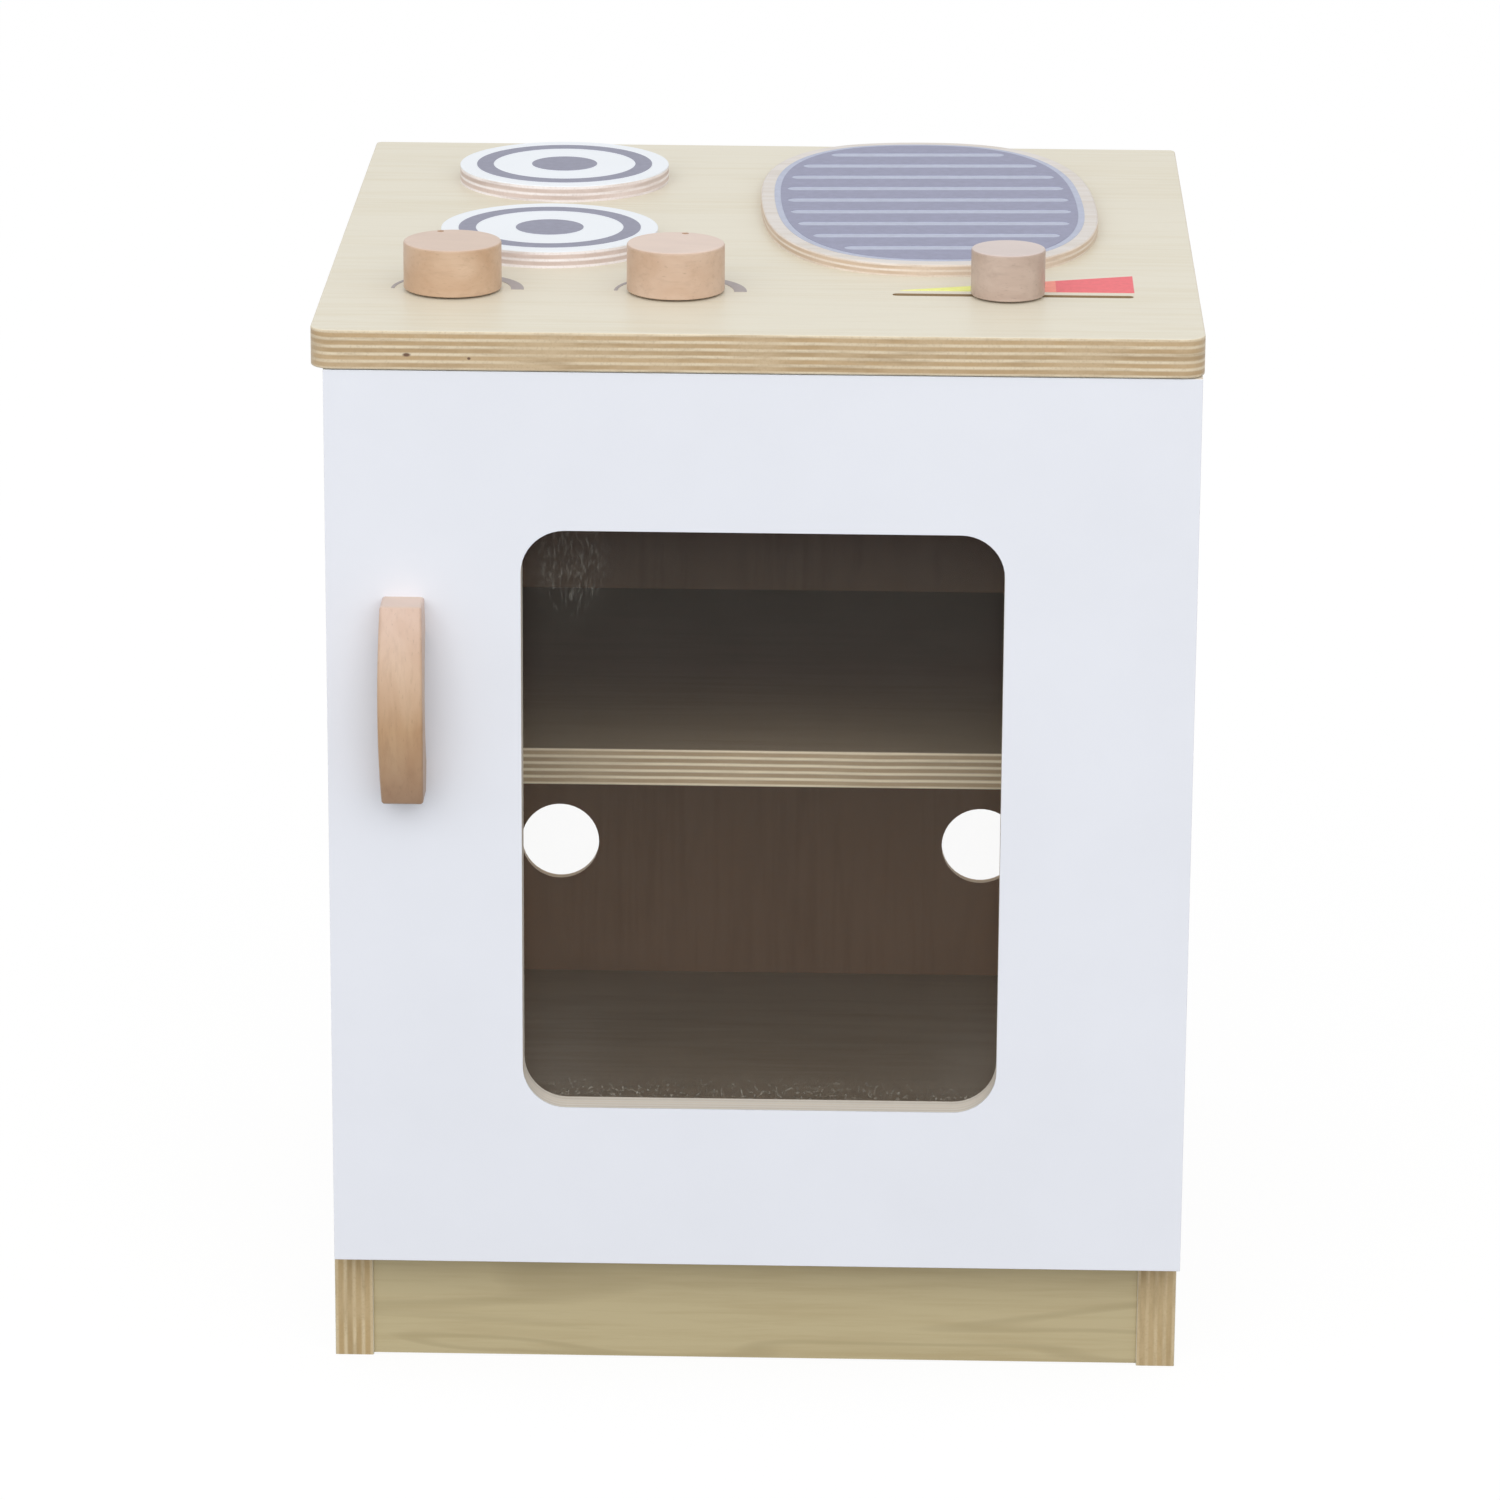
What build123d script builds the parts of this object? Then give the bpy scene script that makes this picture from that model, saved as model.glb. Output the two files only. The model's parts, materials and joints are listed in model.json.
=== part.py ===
from build123d import *
from math import copysign, cos, pi, radians, sin
import os

# A child's toy oven: a plywood cabinet with a glazed door on concealed hinges, two burner discs,
# a griddle plate, two turning knobs and a sliding heat knob. Millimetres, +X right, +Z up.
# The door faces -Y. The origin lies on the floor, in the middle of the overall box.

# ---- Driving dimensions ----
board = 18.0                 # birch plywood of the cabinet and the door
overall_height = 500.0       # floor to the worktop's upper face
worktop_width = 400.0
worktop_depth = 400.0
front_corner_radius = 10.0   # worktop corners in plan
rear_corner_radius = 3.0
edge_round = 0.8             # hand-sanded arrises

cabinet_width = 394.0        # over both side panels
cabinet_shift = 1.3          # the cabinet sits a little to the right under the worktop
side_setback = 21.0          # worktop front to the side panels' front edges
back_board = 5.0             # thin back panel
back_margin = 1.0            # the back panel stops short of the cabinet's outline
back_bottom = 12.0           # floor to the back panel's lower edge
plinth_height = 63.5
plinth_setback = 2.0         # behind the side panels' front edges
plinth_lift = 0.5            # the plinth clears the floor
shelf_height = 270.0         # floor to the shelf's upper face
shelf_setback = 117.0        # worktop front to the shelf's front edge
front_rail_width = 34.0
rear_rail_width = 60.0

vent_radius = 20.0           # the two holes in the back panel
vent_spacing = 217.0
vent_height = 134.0

door_height = 426.0
door_inset_left = 1.7        # cabinet's left side to the door's free edge
door_overhang_right = 0.7    # cabinet's right side to the door's hinged edge
door_setback = 1.0           # worktop front to the door's face
door_top_gap = 0.5           # under the worktop
facing = 0.6                 # white laminate on both faces of the door
facing_round = 0.3
window_width = 218.2
window_height = 275.9
window_corner = 20.0
window_shift = 3.2           # window centre to worktop centre
window_sill = 132.3          # floor to the lower edge of the cut
pane_thickness = 3.0
pane_lap = 10.0              # how far the pane runs behind the cut on each side
pane_play = 0.5              # the pane is loose in its rebate by this much all round
pane_screw_inset = 5.0       # pane edge to the middle of its screws

handle_length = 93.0
handle_reach = 27.0          # door face to the front of the bow
handle_end_reach = 17.0      # door face to the front of its square ends
handle_width = 20.5
handle_end_width = 19.0
handle_height = 330.0        # floor to its middle
handle_inset = 35.0          # door's free edge to the handle's middle
finger_gap = 12.5            # depth of the arch behind the bow
finger_length = 62.0
handle_round = 1.6
handle_screw_spacing = 78.0
handle_grip = 11.0           # screw length inside the handle
bumper_radius = 4.0          # soft stops on the door's back
bumper_inset = 40.0          # door's top and bottom to the stops

burner_radius = 51.0
burner_thickness = 7.5
burner_facing = 0.5
burner_x = -101.5
burner_front_y = 176.0       # from the worktop's front edge
burner_spacing = 140.0
ring_outer = 42.8
ring_inner = 34.7
burner_dot = 15.9

griddle_width = 160.0
griddle_length = 268.0
griddle_thickness = 5.8
griddle_squareness = 2.6     # exponent of the oval, 2 is an ellipse
griddle_x = 76.5
griddle_y = 251.0            # from the worktop's front edge
griddle_turn = 2.9           # degrees, as it was glued on
griddle_edge_round = 1.2
border_width = 147.0
border_length = 255.0
grill_width = 141.0
grill_length = 249.0
grill_line = 8.0             # width of a pale line in the grill film
grill_pitch = 25.5
grill_lines = 9
grill_line_inset = 3.0
grill_shift = 1.0            # the grill film sits a little to the back
film = 0.15                  # printed vinyl film

knob_radius = 22.4
knob_height = 21.8
knob_round = 1.2
knob_x = (-141.0, -39.0)
knob_y = 82.0                # from the worktop's front edge
knob_names = ("knob_left", "knob_middle")
dimple_radius = 1.6
dimple_depth = 1.5
dimple_reach = 19.2          # knob centre to the dimple
dimple_angle = (110.0, 78.8)
knob_screw_radius = 3.0
knob_washer_radius = 9.0
knob_washer = 0.7
lower_washer = 1.0           # under the worktop
knob_grip = 15.0             # screw length inside the knob
screw_head_radius = 6.0
screw_head_height = 3.0

slider_radius = 16.9
slider_height = 21.3
slider_round = 1.0
slider_x = 112.6
slot_left = 60.0             # slot ends, from the worktop's middle
slot_right = 170.0
slot_y = 80.4                # from the worktop's front edge
slider_screw_radius = 2.25
slider_grip = 14.0           # screw length inside the knob
slider_head_radius = 4.5
slider_head_height = 2.5
guide_length = 19.0
guide_width = 14.0
guide_height = 5.0
guide_corner = 2.0

scale_reach_inner = 26.7     # knob scale: inner arc about the knob's axis
scale_reach_outer = 30.4     # outer arc, its centre moved to the right
scale_offset = 2.1
wedge_left = 63.5
wedge_right = 170.5
wedge_front = 88.4           # from the worktop's front edge
wedge_depth = 33.0           # at its wide end
wedge_colours = ("scale_yellow", "scale_orange", "scale_red")

confirmat_radius = 2.5       # panel screws through the side panels
confirmat_length = 48.0
confirmat_head = 4.6
side_screw_inset = 45.0      # a board's front and back edges to its panel screws
tack_radius = 1.3            # screws of the back panel
tack_length = 18.0
tack_head = 2.8
back_screw_inset = 40.0      # floor and worktop to the back panel's side screws
back_rail_reach = 90.0       # oven's middle to the back panel's upper and lower screws
rail_screw_radius = 2.0      # screws up into the worktop
rail_screw_length = 30.0
rail_screw_head = 4.0
rail_screw_reach = 120.0     # oven's middle to them
pan_screw_radius = 1.5       # screws that hold the pane
pan_screw_head = 3.4
pan_screw_length = 12.0
handle_screw_radius = 2.0
handle_screw_head = 4.2

hinge_inset = 80.0           # door's top and bottom to the hinges' middles
cup_reach = 21.5             # door's edge to the middle of the cup
cup_radius = 17.5            # bore in the door
cup_depth = 12.5
cup_play = 0.1               # between the cup and its bore
cup_floor = 1.0
cup_pocket_left = 15.4       # cup middle to the pocket's ends
cup_pocket_right = 15.3
cup_pocket_round = 2.0
cup_flange = 1.0
cup_flange_radius = 19.3
cup_ear_spacing = 48.0       # between the flange's screws
cup_ear_shift = 6.0          # cup middle to the screws, away from the door's edge
cup_ear_width = 14.0
cup_screw_length = 12.0
arm_outer_pivot = (-12.0, 7.0)    # from the side panel's front inner corner
arm_inner_pivot = (-16.0, 1.2)
cup_outer_pivot = (-9.3, -2.7)    # from the door's rear corner at the hinge side
cup_inner_pivot = (-8.7, -7.6)
outer_link_bend = (-13.8, -5.6)   # corner of each link's bent middle line, from the same corner
inner_link_bend = (-18.4, -9.3)
link_bend_radius = 6.0
link_half_width = 2.2
link_pin_radius = 1.1
inner_link_half = 3.6        # half its thickness
cheek_inside = 4.2           # the outer link's two cheeks, from the hinge's middle
cheek_thickness = 1.8
arm_inside = 6.6             # the arm's two walls, from the hinge's middle
arm_wall = 1.6
arm_height = 20.0            # side panel to the arm's outer face
arm_length = 58.0            # from the side panels' front edges
arm_web_start = 7.0
arm_nose = 0.7               # the arm's walls reach past the side panels' front edges
arm_round = 1.0              # corners of the arm's walls
pin_end = 9.4                # hinge middle to the ends of its pins
slot_travel = 1.5            # each way, in the inner link's slotted eye
slot_play = 0.4              # across the slot
slot_turn = -45.0            # the slot's direction
plate_thickness = 2.0        # hinge plate on the side panel
plate_set = 37.0             # side panel's front edge to the plate's screws
plate_width = 14.0
plate_screw_spacing = 32.0
plate_overhang = 8.0         # beyond its screws
plate_block_height = 12.0
plate_block_length = 30.0
plate_screw_length = 14.0
arm_screw_reach = 46.0       # side panel's front edge to the arm's screw
hinge_head_radius = 3.2      # pan heads on the flange, the plate and the arm
hinge_head_height = 1.6
hinge_screw_radius = 1.5

pan_crown = 0.6              # pan heads: flat top's share of the head's radius
pan_shoulder = 0.4           # where the crown starts, as a share of the head's height
hole_spare = 1.0             # drilled past the end of a screw
running_fit = 0.06           # radial play of a pin or shank that turns
screw_fit = 0.03             # radial play round a screw that holds
slide_fit = 0.1              # side play of the slider's shank in its slot
rest_gap = 0.3               # between pieces that move on each other

# ---- Places worked out from the dimensions ----
worktop_front = -(worktop_depth - handle_reach + door_setback) / 2
worktop_back = worktop_front + worktop_depth
worktop_under = overall_height - board
cabinet_left = cabinet_shift - cabinet_width / 2
cabinet_right = cabinet_shift + cabinet_width / 2
cabinet_front = worktop_front + side_setback
cabinet_back = worktop_back - back_board
floor_top = plinth_height
plinth_front = cabinet_front + plinth_setback
plinth_back = plinth_front + board
shelf_front = worktop_front + shelf_setback
door_face = worktop_front + door_setback
door_back = door_face + board
door_top = worktop_under - door_top_gap
door_bottom = door_top - door_height
door_left = cabinet_left + door_inset_left
door_right = cabinet_right + door_overhang_right
door_width = door_right - door_left
door_shift = (door_left + door_right) / 2
handle_x = door_left + handle_inset
window_middle = window_sill + window_height / 2
rail_under = worktop_under - board

os.makedirs("parts", exist_ok=True)


def keep(builder, name):
    """Label a finished piece and write its STEP file."""
    builder.part.label = name
    export_step(builder.part, f"parts/{name}.step")


def slab(x_low, x_high, y_low, y_high, z_low, thickness):
    """A flat board lying in XY, added to the piece being built."""
    with Locations(((x_low + x_high) / 2, (y_low + y_high) / 2, z_low)):
        Box(x_high - x_low, y_high - y_low, thickness, align=(Align.CENTER, Align.CENTER, Align.MIN))


def revolved(points):
    """A solid of revolution about Z from its half outline."""
    with BuildPart() as one:
        with BuildSketch(Plane.XZ):
            with BuildLine():
                Polyline(*points, close=True)
            make_face()
        revolve(axis=Axis.Z)
    return one.part


def sunk_screw(head_radius, shank_radius, length):
    """A countersunk screw that points along -Z, its head flush with z = 0."""
    return revolved([(0, 0), (head_radius, 0), (shank_radius, shank_radius - head_radius),
                     (shank_radius, -length), (0, -length)])


def pan_screw(head_radius, head_height, shank_radius, length):
    """A pan head screw that points along -Z, the seat of its head at z = 0."""
    return revolved([(0, head_height), (pan_crown * head_radius, head_height),
                     (head_radius, pan_shoulder * head_height), (head_radius, 0),
                     (shank_radius, 0), (shank_radius, -length), (0, -length)])


def pair(middle, spacing):
    """Two places on either side of a middle."""
    return (middle - spacing / 2, middle + spacing / 2)


def planes(points, direction, across):
    """Planes at the points whose Z axis is the direction."""
    return [Plane(origin=point, x_dir=across, z_dir=direction) for point in points]


def oval_points(width, length):
    """Points of the griddle's superellipse, evenly spread round it."""
    steps = 32
    points = []
    for step in range(steps):
        turn = 2 * pi * (step + 0.5) / steps
        c, s = cos(turn), sin(turn)
        points.append((width / 2 * copysign(abs(c) ** (2 / griddle_squareness), c),
                       length / 2 * copysign(abs(s) ** (2 / griddle_squareness), s)))
    return points


def oval_half_width(width, length, y):
    """Half the oval's width at a distance y from its middle."""
    share = 1 - abs(2 * y / length) ** griddle_squareness
    return width / 2 * share ** (1 / griddle_squareness)


# ---- Screw positions shared by the side panels, the boards and the screws ----
side_screw_points = [
    (cabinet_front + side_screw_inset, floor_top - board / 2),
    (cabinet_back - side_screw_inset, floor_top - board / 2),
    (shelf_front + side_screw_inset, shelf_height - board / 2),
    (cabinet_back - side_screw_inset, shelf_height - board / 2),
    (cabinet_front + front_rail_width / 2, worktop_under - board / 2),
    (cabinet_back - rear_rail_width / 2, worktop_under - board / 2),
]
plinth_screw_point = (plinth_front + board / 2, plinth_height / 2)
back_side_heights = (back_screw_inset, (shelf_height + floor_top) / 2, worktop_under - back_screw_inset)

inner_left = cabinet_left + board
inner_right = cabinet_right - board
front_rail_y = cabinet_front + front_rail_width / 2
rear_rail_y = cabinet_back - rear_rail_width / 2
hinge_levels = {"hinge_lower": door_bottom + hinge_inset, "hinge_upper": door_top - hinge_inset}
plate_y = cabinet_front + plate_set
plate_seats = [(inner_right - plate_thickness, plate_y, level)
               for z in hinge_levels.values() for level in pair(z, plate_screw_spacing)]
confirmat_hole = confirmat_radius + screw_fit
confirmat_depth = confirmat_length - board + hole_spare
hinge_screw_hole = hinge_screw_radius + screw_fit
tack_hole = tack_radius + screw_fit
tack_depth = tack_length - back_board + hole_spare


def end_holes(points):
    """Blind holes in both ends of a board, for the screws through the side panels."""
    for x, outward in ((inner_left, (-1, 0, 0)), (inner_right, (1, 0, 0))):
        with Locations(*planes([(x, y, z) for y, z in points], outward, (0, 1, 0))):
            Hole(confirmat_hole, confirmat_depth)


def back_holes(points):
    """Blind holes in a rear edge, for the screws of the back panel."""
    with Locations(*planes([(x, cabinet_back, z) for x, z in points], (0, 1, 0), (1, 0, 0))):
        Hole(tack_hole, tack_depth)


# ---- Worktop ----
knob_centre_y = worktop_front + knob_y
slot_centre_y = worktop_front + slot_y
rail_screw_points = [(x, y) for y in (front_rail_y, rear_rail_y)
                     for x in (-rail_screw_reach, rail_screw_reach)]
rail_screw_hole = rail_screw_radius + screw_fit

with BuildPart() as worktop:
    slab(-worktop_width / 2, worktop_width / 2, worktop_front, worktop_back, worktop_under, board)
    fillet(worktop.edges().filter_by(Axis.Z).group_by(Axis.Y)[0], front_corner_radius)
    fillet(worktop.edges().filter_by(Axis.Z).group_by(Axis.Y)[-1], rear_corner_radius)
    fillet(worktop.faces().sort_by(Axis.Z)[-1].edges(), edge_round)
    fillet(worktop.faces().sort_by(Axis.Z)[0].edges(), edge_round)
    with Locations(*[(x, knob_centre_y, overall_height) for x in knob_x]):
        Hole(knob_screw_radius + running_fit)
    with BuildSketch(Plane.XY.offset(worktop_under)):
        with Locations(((slot_left + slot_right) / 2, slot_centre_y)):
            SlotOverall(slot_right - slot_left, 2 * (slider_screw_radius + slide_fit))
    extrude(amount=board, mode=Mode.SUBTRACT)
    with Locations(*[(x, y, worktop_under) for x, y in rail_screw_points]):
        Hole(rail_screw_hole, rail_screw_length - board + hole_spare)
keep(worktop, "worktop")

# ---- Cabinet boards ----
for name, x_low, outward in (("side_left", cabinet_left, -1), ("side_right", inner_right, 1)):
    outer_face = cabinet_left if outward < 0 else cabinet_right
    with BuildPart() as side:
        slab(x_low, x_low + board, cabinet_front, cabinet_back, 0, worktop_under)
        fillet(side.edges().filter_by(Axis.Z).group_by(Axis.Y)[0], edge_round)
        side_points = [(outer_face, y, z) for y, z in side_screw_points + [plinth_screw_point]]
        with Locations(*planes(side_points, (outward, 0, 0), (0, 1, 0))):
            CounterSinkHole(confirmat_hole, confirmat_head + screw_fit, board + hole_spare,
                            counter_sink_angle=90)
        back_holes([(x_low + board / 2, z) for z in back_side_heights])
        if outward > 0:
            with Locations(*planes(plate_seats, (-1, 0, 0), (0, 1, 0))):
                Hole(hinge_screw_hole, plate_screw_length + hole_spare)
    keep(side, name)

with BuildPart() as floor_panel:
    slab(inner_left, inner_right, plinth_back, cabinet_back, floor_top - board, board)
    end_holes(side_screw_points[:2])
    back_holes([(x, floor_top - board / 2) for x in (-back_rail_reach, back_rail_reach)])
keep(floor_panel, "floor_panel")

with BuildPart() as shelf:
    slab(inner_left, inner_right, shelf_front, cabinet_back, shelf_height - board, board)
    fillet(shelf.edges().filter_by(Axis.X).group_by(Axis.Y)[0], edge_round)
    end_holes(side_screw_points[2:4])
keep(shelf, "shelf")

with BuildPart() as plinth:
    slab(inner_left, inner_right, plinth_front, plinth_back, plinth_lift, plinth_height - plinth_lift)
    end_holes([plinth_screw_point])
keep(plinth, "plinth")

for name, y_middle, width, point in (
        ("front_rail", front_rail_y, front_rail_width, side_screw_points[4]),
        ("rear_rail", rear_rail_y, rear_rail_width, side_screw_points[5])):
    with BuildPart() as rail:
        slab(inner_left, inner_right, y_middle - width / 2, y_middle + width / 2, rail_under, board)
        end_holes([point])
        if name == "rear_rail":
            back_holes([(x, worktop_under - board / 2) for x in (-back_rail_reach, back_rail_reach)])
        under = [(x, y_middle, rail_under) for x in (-rail_screw_reach, rail_screw_reach)]
        with Locations(*planes(under, (0, 0, -1), (1, 0, 0))):
            CounterSinkHole(rail_screw_hole, rail_screw_head + screw_fit, board + hole_spare,
                            counter_sink_angle=90)
    keep(rail, name)

# ---- Back panel with its two holes ----
tack_points = [(x, z) for x in (cabinet_left + board / 2, cabinet_right - board / 2)
               for z in back_side_heights]
tack_points += [(x, z) for x in (-back_rail_reach, back_rail_reach)
                for z in (floor_top - board / 2, worktop_under - board / 2)]

with BuildPart() as back_panel:
    slab(cabinet_left + back_margin, cabinet_right - back_margin, cabinet_back, worktop_back,
         back_bottom, worktop_under - back_margin - back_bottom)
    vents = [(x, worktop_back, vent_height) for x in (-vent_spacing / 2, vent_spacing / 2)]
    with Locations(*planes(vents, (0, 1, 0), (1, 0, 0))):
        Hole(vent_radius)
    tack_seats = planes([(x, worktop_back, z) for x, z in tack_points], (0, 1, 0), (1, 0, 0))
    with Locations(*tack_seats):
        CounterSinkHole(tack_hole, tack_head + screw_fit, back_board + hole_spare,
                        counter_sink_angle=90)
keep(back_panel, "back_panel")

# ---- Screws of the cabinet ----
confirmat = sunk_screw(confirmat_head, confirmat_radius, confirmat_length)
for name, outer_face, outward in (("side_screws_left", cabinet_left, -1),
                                  ("side_screws_right", cabinet_right, 1)):
    with BuildPart() as side_screws:
        side_points = [(outer_face, y, z) for y, z in side_screw_points + [plinth_screw_point]]
        with Locations(*planes(side_points, (outward, 0, 0), (0, 1, 0))):
            add(confirmat)
    keep(side_screws, name)

with BuildPart() as back_screws:
    with Locations(*tack_seats):
        add(sunk_screw(tack_head, tack_radius, tack_length))
keep(back_screws, "back_screws")

with BuildPart() as rail_screws:
    seats = [(x, y, rail_under) for x, y in rail_screw_points]
    with Locations(*planes(seats, (0, 0, -1), (1, 0, 0))):
        add(sunk_screw(rail_screw_head, rail_screw_radius, rail_screw_length))
keep(rail_screws, "rail_screws")

# ---- Burner discs: plywood, a white face, a printed ring and dot ----
burner_centres = {"burner_front": worktop_front + burner_front_y,
                  "burner_rear": worktop_front + burner_front_y + burner_spacing}
for name, y in burner_centres.items():
    with BuildPart() as burner:
        with BuildSketch(Plane.XY.offset(overall_height)):
            with Locations((burner_x, y)):
                Circle(burner_radius)
        extrude(amount=burner_thickness)
    keep(burner, name)

    with BuildPart() as burner_face:
        with BuildSketch(Plane.XY.offset(overall_height + burner_thickness)):
            with Locations((burner_x, y)):
                Circle(burner_radius)
        extrude(amount=burner_facing)
        fillet(burner_face.faces().sort_by(Axis.Z)[-1].edges(), burner_facing / 2)
    keep(burner_face, f"{name}_face")

    with BuildPart() as burner_print:
        with BuildSketch(Plane.XY.offset(overall_height + burner_thickness + burner_facing)):
            with Locations((burner_x, y)):
                Circle(ring_outer)
                Circle(ring_inner, mode=Mode.SUBTRACT)
                Circle(burner_dot)
        extrude(amount=film)
    keep(burner_print, f"{name}_print")

# ---- Griddle plate: plywood, a pale border film, a dark film cut by pale lines ----
griddle_x_dir = (cos(radians(griddle_turn)), sin(radians(griddle_turn)), 0)
griddle_plane = Plane(origin=(griddle_x, worktop_front + griddle_y, overall_height),
                      x_dir=griddle_x_dir, z_dir=(0, 0, 1))

with BuildPart() as griddle_plate:
    with BuildSketch(griddle_plane):
        with BuildLine():
            Spline(*oval_points(griddle_width, griddle_length), periodic=True)
        make_face()
    extrude(amount=griddle_thickness)
    fillet(griddle_plate.faces().sort_by(Axis.Z)[-1].edges(), griddle_edge_round)
keep(griddle_plate, "griddle_plate")

with BuildPart() as griddle_border_film:
    with BuildSketch(griddle_plane.offset(griddle_thickness)):
        with BuildLine():
            Spline(*oval_points(border_width, border_length), periodic=True)
        make_face()
    extrude(amount=film)
keep(griddle_border_film, "griddle_border_film")

with BuildPart() as griddle_grill_film:
    with BuildSketch(griddle_plane.offset(griddle_thickness + film)):
        with BuildLine():
            Spline(*oval_points(grill_width, grill_length), periodic=True)
        make_face()
        for line in range(grill_lines):
            y = (line - (grill_lines - 1) / 2) * grill_pitch + grill_shift
            reach = oval_half_width(grill_width, grill_length, abs(y) + grill_line / 2)
            with Locations((0, y)):
                SlotOverall(2 * (reach - grill_line_inset), grill_line, mode=Mode.SUBTRACT)
    extrude(amount=film)
keep(griddle_grill_film, "griddle_grill_film")

# ---- Turning knobs: each turns with its screw in the worktop's bore ----
knob_seat = overall_height + rest_gap + knob_washer
lower_washer_top = worktop_under - rest_gap
lower_seat = lower_washer_top - lower_washer

for name, x, angle in zip(knob_names, knob_x, dimple_angle):
    with BuildPart() as knob:
        with BuildSketch(Plane.XY.offset(knob_seat)):
            with Locations((x, knob_centre_y)):
                Circle(knob_radius)
        extrude(amount=knob_height)
        fillet(knob.faces().sort_by(Axis.Z)[-1].edges(), knob_round)
        fillet(knob.faces().sort_by(Axis.Z)[0].edges(), knob_round / 2)
        pointer = (x + dimple_reach * cos(radians(angle)),
                   knob_centre_y + dimple_reach * sin(radians(angle)), knob_seat + knob_height)
        with Locations(pointer):
            Hole(dimple_radius, dimple_depth)
        with Locations((x, knob_centre_y, knob_seat)):
            Hole(knob_screw_radius + screw_fit, knob_grip + hole_spare)
    keep(knob, name)

    with BuildPart() as knob_washers:
        for bottom, thickness in ((overall_height + rest_gap, knob_washer), (lower_seat, lower_washer)):
            with BuildSketch(Plane.XY.offset(bottom)):
                with Locations((x, knob_centre_y)):
                    Circle(knob_washer_radius)
                    Circle(knob_screw_radius + screw_fit, mode=Mode.SUBTRACT)
            extrude(amount=thickness)
    keep(knob_washers, f"{name}_washers")

    with BuildPart() as knob_screw:
        with Locations(*planes([(x, knob_centre_y, lower_seat)], (0, 0, -1), (1, 0, 0))):
            add(pan_screw(screw_head_radius, screw_head_height, knob_screw_radius,
                          knob_seat + knob_grip - lower_seat))
    keep(knob_screw, f"{name}_screw")

    with BuildPart() as knob_scale:
        with BuildSketch(Plane.XY.offset(overall_height)):
            with BuildLine():
                inner_arc = ThreePointArc((x - scale_reach_inner, knob_centre_y),
                                          (x, knob_centre_y + scale_reach_inner),
                                          (x + scale_reach_inner, knob_centre_y))
                outer_middle = x + scale_offset
                outer_arc = ThreePointArc((outer_middle + scale_reach_outer, knob_centre_y),
                                          (outer_middle, knob_centre_y + scale_reach_outer),
                                          (outer_middle - scale_reach_outer, knob_centre_y))
                Line(inner_arc @ 1, outer_arc @ 0)
                Line(outer_arc @ 1, inner_arc @ 0)
            make_face()
        extrude(amount=film)
    keep(knob_scale, f"{name}_scale")

# ---- Heat slider: a knob, its screw and a guide block that run along the slot ----
guide_under = worktop_under - rest_gap - guide_height

with BuildPart() as slider_knob:
    with BuildSketch(Plane.XY.offset(knob_seat)):
        with Locations((slider_x, slot_centre_y)):
            Circle(slider_radius)
    extrude(amount=slider_height)
    fillet(slider_knob.faces().sort_by(Axis.Z)[-1].edges(), slider_round)
    fillet(slider_knob.faces().sort_by(Axis.Z)[0].edges(), slider_round / 2)
    with Locations((slider_x, slot_centre_y, knob_seat)):
        Hole(slider_screw_radius + screw_fit, slider_grip + hole_spare)
keep(slider_knob, "slider_knob")

with BuildPart() as slider_washer:
    with BuildSketch(Plane.XY.offset(overall_height + rest_gap)):
        with Locations((slider_x, slot_centre_y)):
            Circle(knob_washer_radius)
            Circle(slider_screw_radius + screw_fit, mode=Mode.SUBTRACT)
    extrude(amount=knob_washer)
keep(slider_washer, "slider_washer")

with BuildPart() as slider_guide:
    with BuildSketch(Plane.XY.offset(guide_under)):
        with Locations((slider_x, slot_centre_y)):
            RectangleRounded(guide_length, guide_width, guide_corner)
            Circle(slider_screw_radius + screw_fit, mode=Mode.SUBTRACT)
    extrude(amount=guide_height)
keep(slider_guide, "slider_guide")

with BuildPart() as slider_screw:
    with Locations(*planes([(slider_x, slot_centre_y, guide_under)], (0, 0, -1), (1, 0, 0))):
        add(pan_screw(slider_head_radius, slider_head_height, slider_screw_radius,
                      knob_seat + slider_grip - guide_under))
keep(slider_screw, "slider_screw")

wedge_front_y = worktop_front + wedge_front
for band, name in enumerate(wedge_colours):
    starts = [wedge_left + (wedge_right - wedge_left) * (band + end) / len(wedge_colours)
              for end in (0, 1)]
    depths = [wedge_depth * (x - wedge_left) / (wedge_right - wedge_left) for x in starts]
    corners = [(starts[0], wedge_front_y), (starts[1], wedge_front_y),
               (starts[1], wedge_front_y + depths[1])]
    if depths[0] > 0:
        corners.append((starts[0], wedge_front_y + depths[0]))
    with BuildPart() as scale:
        with BuildSketch(Plane.XY.offset(overall_height)):
            with BuildLine():
                Polyline(*corners, close=True)
            make_face()
        extrude(amount=film)
    keep(scale, name)

# ---- Door: a plywood core with a window cut, between two white facings ----
cup_x = door_right - cup_reach
ear_x = cup_x - cup_ear_shift
rebate = pane_lap + pane_play
handle_seats = [(handle_x, door_back, z) for z in pair(handle_height, handle_screw_spacing)]
pane_rows = 2 * (pane_lap - pane_screw_inset)    # screw rows' spacing, beyond the window's size
pane_seats = [(x, door_back, z) for x in pair(window_shift, window_width + pane_rows)
              for z in pair(window_middle, window_height / 2)]
pane_seats += [(x, door_back, z) for x in pair(window_shift, window_width / 2)
               for z in pair(window_middle, window_height + pane_rows)]
cup_seats = [(cup_x, door_back, z) for z in hinge_levels.values()]
ear_seats = [(ear_x, door_back, level)
             for z in hinge_levels.values() for level in pair(z, cup_ear_spacing)]
pan_screw_hole = pan_screw_radius + screw_fit
handle_screw_hole = handle_screw_radius + screw_fit


def from_back(seats):
    """Planes on the door's back that face +Y."""
    return planes(seats, (0, 1, 0), (1, 0, 0))


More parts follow.
